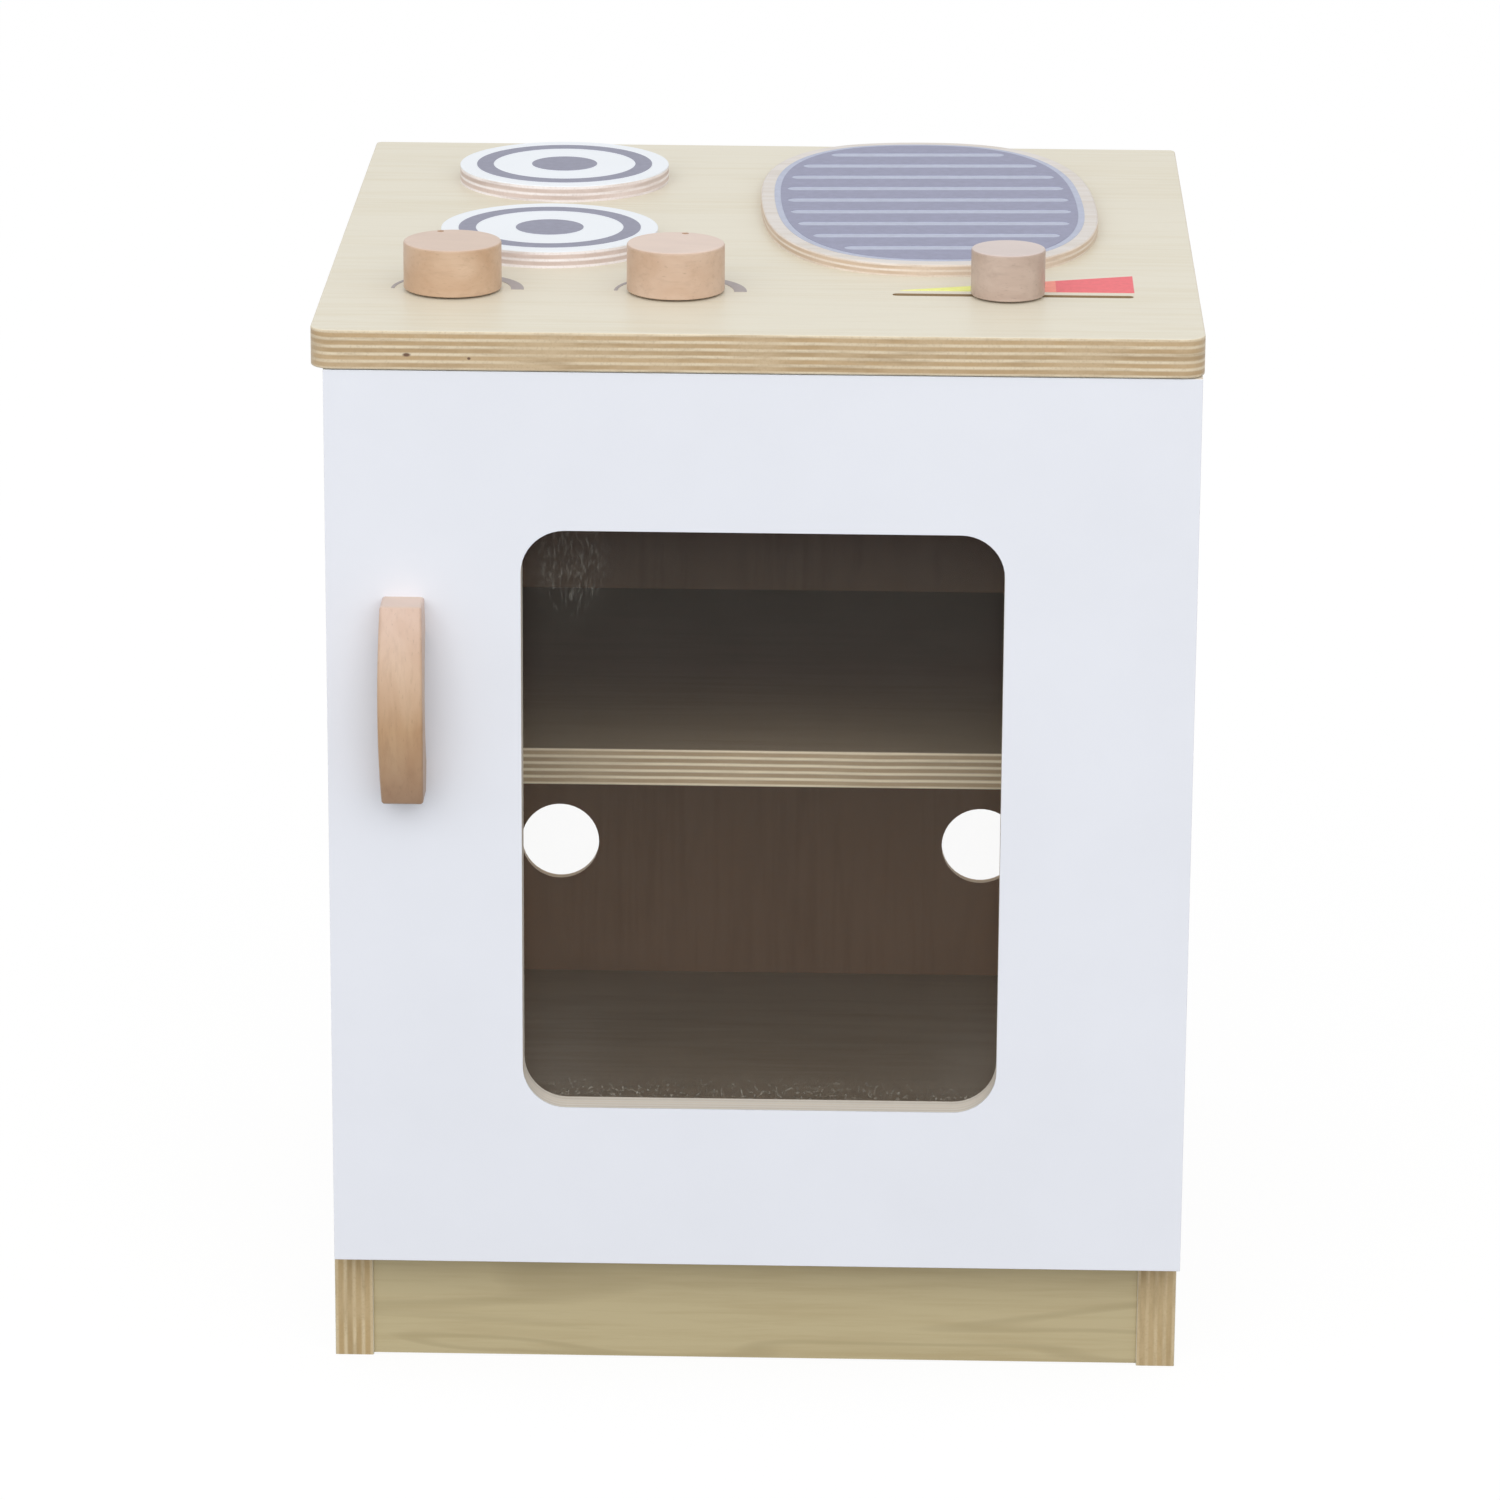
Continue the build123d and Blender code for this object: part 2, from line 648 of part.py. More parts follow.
def rear_cuts(depth):
    """The holes that enter from the door's back, in the piece being built."""
    with Locations(*from_back(handle_seats)):
        Hole(handle_screw_hole, board)
    with Locations(*from_back(cup_seats)):
        Hole(cup_radius, min(cup_depth, depth))
    with Locations(*from_back(ear_seats)):
        Hole(hinge_screw_hole, min(cup_screw_length, depth))


with BuildPart() as door_panel:
    with BuildSketch(Plane.XZ.offset(-(door_back - facing))):
        with Locations((door_shift, (door_top + door_bottom) / 2)):
            Rectangle(door_width, door_height)
        with Locations((window_shift, window_middle)):
            RectangleRounded(window_width, window_height, window_corner, mode=Mode.SUBTRACT)
    extrude(amount=board - 2 * facing)
    with BuildSketch(Plane.XZ.offset(-(door_back - facing))):
        with Locations((window_shift, window_middle)):
            RectangleRounded(window_width + 2 * rebate, window_height + 2 * rebate,
                             window_corner + rebate)
    extrude(amount=pane_thickness - facing, mode=Mode.SUBTRACT)
    rear_cuts(board)
    with Locations(*from_back(pane_seats)):
        Hole(pan_screw_hole, pan_screw_length + hole_spare)
keep(door_panel, "door_panel")

with BuildPart() as door_front_facing:
    with BuildSketch(Plane.XZ.offset(-(door_face + facing))):
        with Locations((door_shift, (door_top + door_bottom) / 2)):
            Rectangle(door_width, door_height)
        with Locations((window_shift, window_middle)):
            RectangleRounded(window_width, window_height, window_corner, mode=Mode.SUBTRACT)
    extrude(amount=facing)
    fillet(door_front_facing.faces().sort_by(Axis.Y)[0].outer_wire().edges(), facing_round)
    with Locations(*from_back(handle_seats)):
        Hole(handle_screw_hole, board)
keep(door_front_facing, "door_front_facing")

with BuildPart() as door_back_facing:
    with BuildSketch(Plane.XZ.offset(-door_back)):
        with Locations((door_shift, (door_top + door_bottom) / 2)):
            Rectangle(door_width, door_height)
        with Locations((window_shift, window_middle)):
            RectangleRounded(window_width + 2 * rebate, window_height + 2 * rebate,
                             window_corner + rebate, mode=Mode.SUBTRACT)
    extrude(amount=facing)
    fillet(door_back_facing.faces().sort_by(Axis.Y)[-1].outer_wire().edges(), facing_round)
    rear_cuts(facing)
keep(door_back_facing, "door_back_facing")

with BuildPart() as window_pane:
    with BuildSketch(Plane.XZ.offset(-door_back)):
        with Locations((window_shift, window_middle)):
            RectangleRounded(window_width + 2 * pane_lap, window_height + 2 * pane_lap,
                             window_corner + pane_lap)
    extrude(amount=pane_thickness)
    with Locations(*from_back(pane_seats)):
        Hole(pan_screw_hole)
keep(window_pane, "window_pane")

with BuildPart() as pane_screws:
    with Locations(*from_back(pane_seats)):
        add(pan_screw(pan_screw_head, pan_screw_head / 2, pan_screw_radius, pan_screw_length))
keep(pane_screws, "pane_screws")

# ---- Door handle: a wooden bow with square ends and a finger arch ----
with BuildPart() as door_handle:
    half = handle_length / 2
    arch_end = finger_length / 2
    with BuildSketch(Plane.YZ.offset(handle_x)):
        with BuildLine():
            Polyline((door_face, handle_height + arch_end), (door_face, handle_height + half),
                     (door_face - handle_end_reach, handle_height + half))
            ThreePointArc((door_face - handle_end_reach, handle_height + half),
                          (door_face - handle_reach, handle_height),
                          (door_face - handle_end_reach, handle_height - half))
            Polyline((door_face - handle_end_reach, handle_height - half),
                     (door_face, handle_height - half), (door_face, handle_height - arch_end))
            ThreePointArc((door_face, handle_height - arch_end),
                          (door_face - finger_gap, handle_height),
                          (door_face, handle_height + arch_end))
        make_face()
    extrude(amount=handle_width, both=True)
    with BuildSketch(Plane.XZ.offset(-door_face)):
        with BuildLine():
            left = ThreePointArc((handle_x - handle_end_width / 2, handle_height - half),
                                 (handle_x - handle_width / 2, handle_height),
                                 (handle_x - handle_end_width / 2, handle_height + half))
            right = ThreePointArc((handle_x + handle_end_width / 2, handle_height + half),
                                  (handle_x + handle_width / 2, handle_height),
                                  (handle_x + handle_end_width / 2, handle_height - half))
            Line(left @ 1, right @ 0)
            Line(right @ 1, left @ 0)
        make_face()
    extrude(amount=2 * handle_reach, mode=Mode.INTERSECT)
    front = door_handle.faces().sort_by(Axis.Y)[0]
    ends = door_handle.faces().filter_by(Axis.Z)
    outer_edges = front.edges() + ends.edges().filter_by(Axis.Y)
    fillet(outer_edges, handle_round)
    with Locations(*from_back([(x, door_face, z) for x, y, z in handle_seats])):
        Hole(handle_screw_hole, handle_grip + hole_spare)
keep(door_handle, "door_handle")

with BuildPart() as handle_screws:
    with Locations(*from_back(handle_seats)):
        add(pan_screw(handle_screw_head, handle_screw_head / 2, handle_screw_radius,
                      board + handle_grip))
keep(handle_screws, "handle_screws")

stop_seats = [(cabinet_left + board / 2, door_back, z)
              for z in (door_bottom + bumper_inset, door_top - bumper_inset)]
with BuildPart() as door_bumpers:
    with Locations(*from_back(stop_seats)):
        Cylinder(bumper_radius, cabinet_front - door_back - rest_gap,
                 align=(Align.CENTER, Align.CENTER, Align.MIN))
keep(door_bumpers, "door_bumpers")

# ---- Concealed hinges: a cup in the door, two bent links, an arm on a plate ----
side_corner = Vector(inner_right, cabinet_front)
door_corner = Vector(door_right, door_back)
outer_start = side_corner + Vector(*arm_outer_pivot)
inner_start = side_corner + Vector(*arm_inner_pivot)
outer_end = door_corner + Vector(*cup_outer_pivot)
inner_end = door_corner + Vector(*cup_inner_pivot)
outer_bend = door_corner + Vector(*outer_link_bend)
inner_bend = door_corner + Vector(*inner_link_bend)
web_under = inner_right - arm_height + arm_wall
arm_seats = [(inner_right - arm_height, cabinet_front + arm_screw_reach, z)
             for z in hinge_levels.values()]


def flat(point):
    """The X and Y of a place in the hinge's own plane."""
    return (point.X, point.Y)


for name, z in hinge_levels.items():
    with BuildPart() as cup:
        with Locations(*from_back([(cup_x, door_back, z)])):
            Cylinder(cup_radius - cup_play, cup_depth - cup_play,
                     align=(Align.CENTER, Align.CENTER, Align.MAX))
        with BuildSketch(Plane.XZ.offset(-door_back)):
            with Locations((cup_x, z)):
                Circle(cup_flange_radius)
            with Locations((ear_x, z)):
                SlotOverall(cup_ear_spacing + cup_ear_width, cup_ear_width, rotation=90)
        extrude(amount=-cup_flange)
        with BuildSketch(Plane.XZ.offset(-(door_back + cup_flange))):
            with Locations((cup_x + (cup_pocket_right - cup_pocket_left) / 2, z)):
                RectangleRounded(cup_pocket_left + cup_pocket_right, 2 * arm_inside, cup_pocket_round)
        extrude(amount=cup_flange + cup_depth - cup_play - cup_floor, mode=Mode.SUBTRACT)
        with BuildSketch(Plane.XY.offset(z)):
            with Locations(flat(outer_end)):
                Circle(link_pin_radius + running_fit)
            with Locations(flat(inner_end)):
                Circle(link_pin_radius + screw_fit)
        extrude(amount=pin_end + rest_gap, both=True, mode=Mode.SUBTRACT)
        with Locations(*from_back([(ear_x, door_back + cup_flange, level)
                                   for level in pair(z, cup_ear_spacing)])):
            Hole(hinge_screw_hole)
    keep(cup, f"{name}_cup")

    with BuildPart() as outer_link:
        for side in (-1, 1):
            with BuildSketch(Plane.XY.offset(z + side * cheek_inside)):
                with BuildLine() as middle:
                    FilletPolyline(flat(outer_start), flat(outer_bend), flat(outer_end),
                                   radius=link_bend_radius)
                trace(middle.line, 2 * link_half_width)
                with Locations(flat(outer_start), flat(outer_end)):
                    Circle(link_half_width)
            extrude(amount=side * cheek_thickness)
            with BuildSketch(Plane.XY.offset(z + side * cheek_inside)):
                with Locations(flat(outer_end)):
                    Circle(link_pin_radius)
            extrude(amount=side * (pin_end - cheek_inside))
        with BuildSketch(Plane.XY.offset(z)):
            with Locations(flat(outer_start)):
                Circle(link_pin_radius)
        extrude(amount=pin_end, both=True)
    keep(outer_link, f"{name}_outer_link")

    with BuildPart() as inner_link:
        with BuildSketch(Plane.XY.offset(z)):
            with BuildLine() as middle:
                FilletPolyline(flat(inner_start), flat(inner_bend), flat(inner_end),
                               radius=link_bend_radius)
            trace(middle.line, 2 * link_half_width)
            with Locations(flat(inner_end)):
                Circle(link_half_width)
                Circle(link_pin_radius + running_fit, mode=Mode.SUBTRACT)
            with Locations(flat(inner_start)):
                SlotCenterToCenter(2 * slot_travel, 2 * (link_half_width + slot_play),
                                   rotation=slot_turn)
                SlotCenterToCenter(2 * slot_travel, 2 * (link_pin_radius + slot_play),
                                   rotation=slot_turn, mode=Mode.SUBTRACT)
        extrude(amount=inner_link_half, both=True)
    keep(inner_link, f"{name}_inner_link")

    with BuildPart() as arm:
        for side in (-1, 1):
            with BuildSketch(Plane.XY.offset(z + side * arm_inside)):
                with BuildLine():
                    top_x = inner_right - arm_height
                    foot_x = inner_right - plate_block_height / 2
                    Polyline((top_x, cabinet_front + arm_length), (top_x, outer_start.Y),
                             (inner_start.X - link_half_width, cabinet_front - arm_nose),
                             (inner_start.X + link_half_width, cabinet_front - arm_nose),
                             (outer_start.X + link_half_width, outer_start.Y - link_half_width),
                             (foot_x, plate_y - plate_block_length / 2),
                             (foot_x, cabinet_front + arm_length), close=True)
                make_face()
                fillet(vertices(), arm_round)
                with Locations(flat(outer_start)):
                    Circle(link_pin_radius + running_fit, mode=Mode.SUBTRACT)
                with Locations(flat(inner_start)):
                    Circle(link_pin_radius + screw_fit, mode=Mode.SUBTRACT)
            extrude(amount=side * arm_wall)
        slab(top_x, web_under, cabinet_front + arm_web_start, cabinet_front + arm_length,
             z - arm_inside, 2 * arm_inside)
        with Locations(*planes([(top_x, cabinet_front + arm_screw_reach, z)], (-1, 0, 0), (0, 1, 0))):
            Hole(hinge_screw_hole, arm_wall + hole_spare)
    keep(arm, f"{name}_arm")

    with BuildPart() as plate:
        plate_half = plate_screw_spacing / 2 + plate_overhang
        slab(inner_right - plate_thickness, inner_right, plate_y - plate_width / 2,
             plate_y + plate_width / 2, z - plate_half, 2 * plate_half)
        slab(inner_right - plate_block_height, inner_right, plate_y - plate_block_length / 2,
             plate_y + plate_block_length / 2, z - arm_inside, 2 * arm_inside)
        with Locations(*planes([(inner_right - plate_thickness, plate_y, level)
                                for level in pair(z, plate_screw_spacing)], (-1, 0, 0), (0, 1, 0))):
            Hole(hinge_screw_hole)
        with Locations(*planes([(inner_right - plate_block_height, cabinet_front + arm_screw_reach, z)],
                               (-1, 0, 0), (0, 1, 0))):
            Hole(hinge_screw_hole, plate_block_height - plate_thickness)
    keep(plate, f"{name}_plate")

for name, point in (("hinge_arm_pins", inner_start), ("hinge_cup_pins", inner_end)):
    with BuildPart() as pins:
        for z in hinge_levels.values():
            with BuildSketch(Plane.XY.offset(z)):
                with Locations(flat(point)):
                    Circle(link_pin_radius)
            extrude(amount=pin_end, both=True)
    keep(pins, name)

with BuildPart() as hinge_cup_screws:
    with Locations(*from_back([(x, y + cup_flange, z) for x, y, z in ear_seats])):
        add(pan_screw(hinge_head_radius, hinge_head_height, hinge_screw_radius, cup_screw_length))
keep(hinge_cup_screws, "hinge_cup_screws")

with BuildPart() as hinge_plate_screws:
    with Locations(*planes(plate_seats, (-1, 0, 0), (0, 1, 0))):
        add(pan_screw(hinge_head_radius, hinge_head_height, hinge_screw_radius, plate_screw_length))
    with Locations(*planes(arm_seats, (-1, 0, 0), (0, 1, 0))):
        add(pan_screw(hinge_head_radius, hinge_head_height, hinge_screw_radius,
                      arm_height - plate_thickness - hole_spare))
keep(hinge_plate_screws, "hinge_plate_screws")
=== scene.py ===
import json
import math

import bmesh
import bpy
from mathutils import Matrix, Vector


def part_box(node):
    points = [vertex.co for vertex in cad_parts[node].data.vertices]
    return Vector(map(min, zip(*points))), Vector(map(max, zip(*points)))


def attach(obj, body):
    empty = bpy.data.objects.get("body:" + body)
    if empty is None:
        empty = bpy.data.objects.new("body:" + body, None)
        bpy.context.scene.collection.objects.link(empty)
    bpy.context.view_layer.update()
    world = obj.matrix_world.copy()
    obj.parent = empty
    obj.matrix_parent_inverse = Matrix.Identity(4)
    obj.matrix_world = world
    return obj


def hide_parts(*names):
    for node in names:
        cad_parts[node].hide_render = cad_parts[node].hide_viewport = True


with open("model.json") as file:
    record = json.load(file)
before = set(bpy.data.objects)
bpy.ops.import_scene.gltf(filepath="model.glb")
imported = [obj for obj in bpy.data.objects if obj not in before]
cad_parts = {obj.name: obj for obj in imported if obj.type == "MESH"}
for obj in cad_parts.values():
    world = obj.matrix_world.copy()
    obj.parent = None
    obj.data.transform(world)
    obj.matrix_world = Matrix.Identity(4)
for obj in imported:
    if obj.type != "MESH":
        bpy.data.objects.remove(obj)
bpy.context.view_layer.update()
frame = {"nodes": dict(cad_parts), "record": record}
nodes = frame["nodes"]

# Lengths are in metres, angles in radians, and noises have so many cells to the metre.
MM = 0.001


def linear(red, green, blue):
    """An sRGB colour of 0..255 as the linear RGBA that the sockets take."""
    out = []
    for channel in (red, green, blue):
        c = channel / 255
        out.append(c / 12.92 if c <= 0.04045 else ((c + 0.055) / 1.055) ** 2.4)
    return (*out, 1.0)


def scaled(colour, factor):
    """A colour made darker or lighter."""
    return (colour[0] * factor, colour[1] * factor, colour[2] * factor, 1.0)


# ---------------------------------------------------------------- node helpers
class Graph:
    """Short calls that add nodes to a tree. A value is a number, a colour or a socket."""

    def __init__(self, tree):
        self.tree = tree

    def put(self, socket, value):
        if isinstance(value, bpy.types.NodeSocket):
            self.tree.links.new(value, socket)
        else:
            socket.default_value = value

    def add(self, kind, *values, **inputs):
        """A new node, with its first inputs filled in order and others by name."""
        node = self.tree.nodes.new(kind)
        for socket, value in zip(node.inputs, values):
            self.put(socket, value)
        for name, value in inputs.items():
            self.put(node.inputs[name], value)
        return node

    def math(self, operation, *values, clamp=False):
        node = self.add("ShaderNodeMath", *values)
        node.operation = operation
        node.use_clamp = clamp
        return node.outputs[0]

    def split(self, vector):
        """A vector's parts, X, Y and Z."""
        return self.add("ShaderNodeSeparateXYZ", vector).outputs

    def range(self, value, low, high, out_low=0.0, out_high=1.0):
        """A value between low and high, moved between two others and held at both ends."""
        return self.add("ShaderNodeMapRange", value, low, high, out_low, out_high).outputs[0]

    def ramp(self, factor, stops):
        """The colour at a place between stops of (place, colour)."""
        node = self.add("ShaderNodeValToRGB", factor)
        elements = node.color_ramp.elements
        elements.remove(elements[-1])
        elements[0].position, elements[0].color = stops[0]
        for position, colour in stops[1:]:
            elements.new(position).color = colour
        return node.outputs["Color"]

    def mix(self, factor, a, b, kind="Color", blend="MIX"):
        """The colour, or the number where kind is Float, that lies between a and b."""
        node = self.tree.nodes.new("ShaderNodeMix")
        node.data_type = {"Color": "RGBA", "Float": "FLOAT"}[kind]
        node.blend_type = blend
        sockets = {socket.identifier: socket for socket in (*node.inputs, *node.outputs)}
        self.put(sockets["Factor_Float"], factor)
        self.put(sockets["A_" + kind], a)
        self.put(sockets["B_" + kind], b)
        return sockets["Result_" + kind]


class Surface(Graph):
    """A Principled material that varies with the place on the object and the way it faces."""

    def __init__(self, name, roughness=0.5, specular=0.5, coat=0.0, coat_roughness=0.2):
        self.mat = bpy.data.materials.new(name)
        self.mat.use_nodes = True
        super().__init__(self.mat.node_tree)
        self.inputs = self.tree.nodes["Principled BSDF"].inputs
        self.inputs["Roughness"].default_value = roughness
        self.inputs["Specular IOR Level"].default_value = specular
        self.inputs["Coat Weight"].default_value = coat
        self.inputs["Coat Roughness"].default_value = coat_roughness
        coordinates = self.add("ShaderNodeTexCoord").outputs
        self.place, self.normal = coordinates["Object"], coordinates["Normal"]

    def mapped(self, scale, offset):
        """The place, scaled and then moved."""
        return self.add("ShaderNodeMapping", Vector=self.place, Scale=scale,
                        Location=offset).outputs[0]

    def noise(self, across, along=None, axis="Z", offset=(0, 0, 0), detail=2.0, roughness=0.5,
              distortion=0.0):
        """Noise with so many cells to the metre, and with a number of its own along an axis."""
        scale = [across] * 3
        if along:
            scale["XYZ".index(axis)] = along
        return self.add("ShaderNodeTexNoise", Vector=self.mapped(scale, offset), Scale=1.0,
                        Detail=detail, Roughness=roughness,
                        Distortion=distortion).outputs["Fac"]

    def spread(self, noise, low=0.0, high=1.0):
        """The middle of a noise's reach, where most of it lies, drawn out from low to high."""
        return self.range(noise, 0.30, 0.70, low, high)

    def marked(self, base, noise, start, full, colour, most, least=0.0):
        """A base with marks where a noise is above start, at their strongest above full."""
        return self.mix(self.range(noise, start, full, least, most), base, colour)

    def facing(self, towards):
        """1 on a face and 0 on its edges, from how far the surface looks along the axis."""
        return self.range(towards, 0.60, 0.80)

    def spot(self, middle, reach):
        """1 inside an ellipsoid about a place, fading to 0 at its reach."""
        scale = tuple(1.0 / r for r in reach)
        node = self.add("ShaderNodeVectorMath",
                        self.mapped(scale, tuple(-m * v for m, v in zip(middle, scale))))
        node.operation = "LENGTH"
        return self.range(node.outputs["Value"], 0.5, 1.0, 1.0, 0.0)

    def inside(self, low, high, margin):
        """1 further than the margin inside a box, as seen from above, and 0 elsewhere."""
        depths = []
        for k, value in enumerate(self.split(self.place)[:2]):
            from_middle = self.math("ABSOLUTE",
                                    self.math("SUBTRACT", value, (low[k] + high[k]) / 2))
            depths.append(self.math("SUBTRACT", (high[k] - low[k]) / 2 - margin, from_middle))
        return self.math("GREATER_THAN", self.math("MINIMUM", *depths), 0.0)

    def shaded_along(self, colour, node, axis, stops):
        """A colour darkened along a node with painted shade, from its low end to its high one.
        """
        low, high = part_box(node)
        index = "XYZ".index(axis)
        share = self.range(self.split(self.place)[axis], low[index], high[index])
        tone = self.ramp(share, [(place, linear(*rgb)) for place, rgb in stops])
        return self.mix(1.0, colour, tone, blend="MULTIPLY")

    def bump(self, height, strength, distance):
        node = self.add("ShaderNodeBump", Height=height, Strength=strength, Distance=distance)
        self.put(self.inputs["Normal"], node.outputs[0])

    def colour(self, value):
        self.put(self.inputs["Base Color"], value)

    def rough(self, value):
        self.put(self.inputs["Roughness"], value)


def dress(material, *names):
    """Gives CAD nodes a material."""
    for name in names:
        slots = nodes[name].data.materials
        slots.clear()
        slots.append(material)


# ---------------------------------------------------------------- plywood
# The faces of each board, as the colours of its light wood and its dark.
BIRCH = linear(231, 225, 207), linear(226, 218, 196)
# the birch inside the cabinet, for the floor panel and the shelf: darkened as painted shade
SHADED_INTERIOR = linear(168, 150, 130), linear(156, 137, 117)
PLINTH = linear(198, 184, 146), linear(188, 172, 133)
# the back panel's inner face, darkened as painted shade, and then its plain outer face
BACK_SHADED_FACE = linear(178, 150, 128), linear(168, 139, 117)
BACK_OUTSIDE = linear(226, 210, 180), linear(214, 196, 163)
GRIDDLE = linear(227, 221, 216), linear(217, 208, 198)

# The edges, as the colours of the thin pale plies and the wide dark ones.
PLIES = linear(228, 214, 186), linear(202, 177, 139)
WORKTOP_PLIES = linear(234, 220, 192), linear(192, 163, 123)
SIDE_PLIES = linear(216, 198, 162), linear(186, 160, 116)
SHELF_PLIES = linear(246, 233, 207), linear(180, 156, 125)
DOOR_PLIES = linear(252, 246, 236), linear(246, 236, 222)
BURNER_PLIES = linear(252, 248, 250), linear(211, 192, 184)
GRIDDLE_PLIES = linear(240, 230, 220), linear(210, 186, 162)

DARK_TINTS = 1.0, 0.95, 1.04, 0.92, 1.0, 1.05, 0.96   # one dark ply differs from the next
DARK_FADE = 0.97                     # and each is a little darker on its far side
PALE_START, PALE_END = 0.07, 0.27    # where the pale ply is at its full colour, in a pair
DARK_START, DARK_END = 0.45, 0.86    # and where the dark one is
LAST_PALE = 0.34                     # the part of a pair that the last pale ply takes
WANDER = 1.4 * MM                    # how far the plies wave
WORN_DARK = 1.6                      # a worn edge is so much of the dark ply to 1 of the pale

# Painted shade: how a node darkens along an axis, as stops of (share of the way, sRGB tone).
# the shelf's top, darker towards the back of the cabinet: painted shade
SHELF_SHADE = "Y", ((0.0, (255, 255, 252)), (0.20, (228, 222, 220)), (0.50, (190, 170, 178)),
                    (1.0, (164, 144, 150)))
# the back panel's inside, darker in the upper compartment under the worktop: painted shade
BACK_SHADE = "Z", ((0.50, (226, 210, 194)), (0.60, (176, 162, 166)))
# the handle, darker towards its foot: painted shade where its face turns down, and a darker wood
# there too
HANDLE_SHADE_AND_TONE = "Z", ((0.0, (194, 180, 159)), (0.40, (223, 209, 178)), (0.70, (246, 241, 226)),
                     (1.0, (255, 255, 255)))

# Painted shade of two small voids in the worktop's front edge, each by its middle and its reach.
VOIDS = (((-0.1564, -0.187, 0.4890), (0.0022, 0.01, 0.0011)),
         ((-0.1285, -0.187, 0.4876), (0.0010, 0.01, 0.0008)))
VOID_SHADE = linear(112, 84, 66)


def veneer(s, grain, wood, seed, figure):
    """Rotary-cut birch and its streaks: soft tone, lines of growth, short fine pores."""
    light, dark = wood
    offset = (seed * 1.7, seed * 0.9, seed * 2.3)
    streaks = s.noise(240.0, 240.0 / 20, grain, offset, detail=4.0, roughness=0.6,
                      distortion=0.2)
    broad = s.noise(16.0, 16.0 / 7, grain, offset, distortion=0.3)
    pores = s.noise(1500.0, 1500.0 / 14, grain, offset)
    growth = s.math("SINE", s.math("MULTIPLY", broad, 60.0))
    tone = s.math("MULTIPLY_ADD", streaks, 0.6, s.math("MULTIPLY", broad, 0.4))
    base = s.ramp(tone, [(0.36, dark), (0.54, light), (0.80, light)])
    base = s.marked(base, growth, 0.55, 1.0, scaled(dark, 0.84), figure)
    return s.marked(base, pores, 0.62, 0.80, scaled(dark, 0.82), 0.16), streaks


def ply_stops(plies, pairs, seed):
    """The colours through a board: pairs of a thin pale ply and a wide dark one, then a pale."""
    light, dark = plies
    pair_height = 1.0 / (pairs + LAST_PALE)
    stops = []
    for pair in range(pairs + 1):
        low = pair * pair_height
        tint = DARK_TINTS[(pair + seed) % len(DARK_TINTS)]
        stops.append((low + PALE_START * pair_height if pair else 0.0, light))
        stops.append((low + PALE_END * pair_height, light))
        if pair < pairs:
            stops.append((low + DARK_START * pair_height, scaled(dark, tint)))
            stops.append((low + DARK_END * pair_height, scaled(dark, tint * DARK_FADE)))
    return stops


def ply_edge(s, axis, low, high, plies, pairs, seed, wear):
    """A plywood edge with its plies laid from low to high along an axis, worn and smudged."""
    light, dark = plies
    waves = s.noise(11.0, offset=(seed, seed, seed), detail=3.0)
    height = s.math("MULTIPLY_ADD", waves, WANDER, s.split(s.place)[axis])
    share = s.range(height, low + WANDER / 2, high + WANDER / 2)
    bands = s.ramp(share, ply_stops(plies, pairs, seed))
    blend = tuple((p + WORN_DARK * d) / (1 + WORN_DARK) for p, d in zip(light[:3], dark[:3]))
    worn = s.noise(35.0, offset=(seed, 0, seed), detail=3.0, roughness=0.6)
    smudge = s.noise(28.0, 300.0, axis, (seed, seed, 0), detail=4.0, roughness=0.65)
    fine = s.noise(900.0, offset=(seed, 0, 0), detail=3.0, roughness=0.6)
    bands = s.marked(bands, worn, 0.38, 0.68, (*blend, 1.0), 0.80 * wear, 0.10 * wear)
    bands = s.marked(bands, smudge, 0.50, 0.78, scaled(dark, 0.70), 0.60 * wear)
    return s.marked(bands, fine, 0.50, 0.80, scaled(dark, 0.72), 0.30 * wear)


def plywood(node, axis, grain, seed, face=BIRCH, plies=PLIES, pairs=5, figure=0.15, wear=1.0,
            roughness=0.45, voids=(), shaded_bore_inset=None, shade_tones=None, outer=None):
    """A board: veneer on the two faces across an axis, layered edges all round.

    Figure is the strength of the lines of growth. An edge further than the bore inset inside
    the board is the wall of a hole, darkened with painted shade. Outer is the wood of the face
    that looks up the axis, where the two faces differ: the other one is darkened with painted
    shade.
    """
    low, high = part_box(node)
    index = "XYZ".index(axis)
    s = Surface(node + "_ply", roughness=roughness, specular=0.4)
    veneered, streaks = veneer(s, grain, face, seed, figure)
    edge = ply_edge(s, axis, low[index], high[index], plies, pairs, seed, wear)
    # dark spots at the voids: painted shade inside them
    for middle, reach in voids:
        edge = s.mix(s.spot(middle, reach), edge, VOID_SHADE)
    # walls of holes darkened: painted shade inside the hole
    if shaded_bore_inset:
        edge = s.mix(s.inside(low, high, shaded_bore_inset), edge, scaled(plies[1], 0.72))
    towards = s.split(s.normal)[axis]
    colour = s.mix(s.facing(s.math("ABSOLUTE", towards)), edge, veneered)
    # painted shade along the board, where it has stops
    if shade_tones:
        colour = s.shaded_along(colour, node, *shade_tones)
    # the outer face gets plain wood; the other face keeps its painted shade
    if outer:
        colour = s.mix(s.facing(towards), colour, veneer(s, grain, outer, seed + 3, figure)[0])
    s.colour(colour)
    s.bump(streaks, 0.12, 0.3 * MM)
    return s.mat


